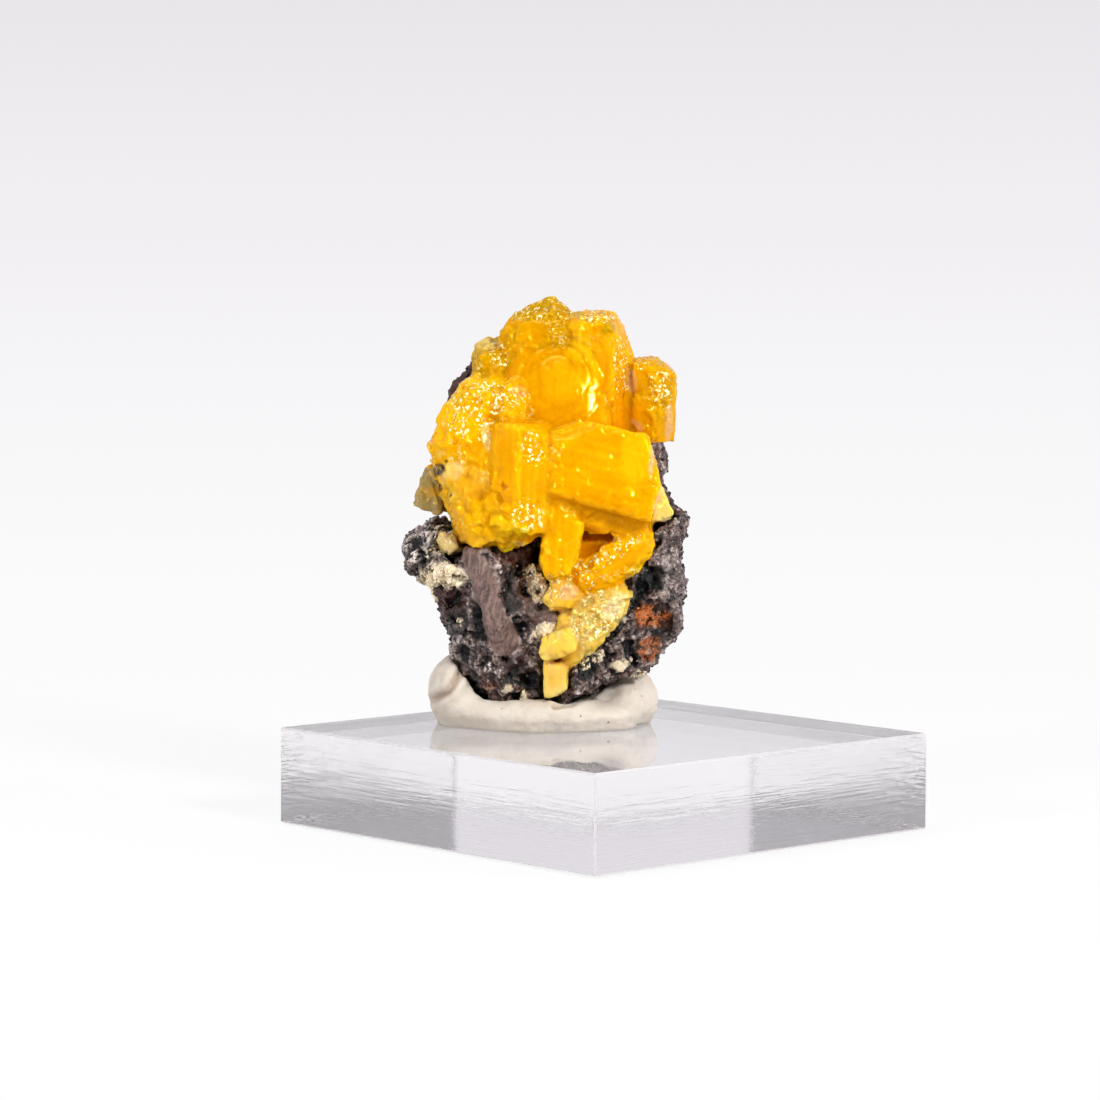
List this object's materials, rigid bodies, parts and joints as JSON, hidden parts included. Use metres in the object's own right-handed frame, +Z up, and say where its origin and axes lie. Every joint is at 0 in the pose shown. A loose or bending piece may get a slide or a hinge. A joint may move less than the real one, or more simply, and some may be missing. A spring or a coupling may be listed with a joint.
{
  "type": "mineral specimen",
  "caption": "Cluster of orange hexagonal mineral crystals on dark rock matrix, held upright by putty on a clear square acrylic display block.",
  "frame": {"origin": "centre of the slab's underside", "axes": "+Z up; X and Y along the slab's sides; the crystals look over the slab's corner between -X and -Y"},
  "size_m": [0.038, 0.038, 0.0438],
  "materials": {
    "acrylic": "clear, with saw-cut sides",
    "putty": "matte, kneaded",
    "matrix_rock": "rough, pitted",
    "orange_crystal": "resinous, translucent",
    "pale_crystal": "resinous, translucent"
  },
  "bodies": {
    "root": {"acrylic_slab": "acrylic", "putty_pad": "putty", "matrix": "matrix_rock", "crystal_cluster": "orange_crystal", "side_crystal": "pale_crystal", "ledge_crystal": "pale_crystal"}
  },
  "joints": []
}
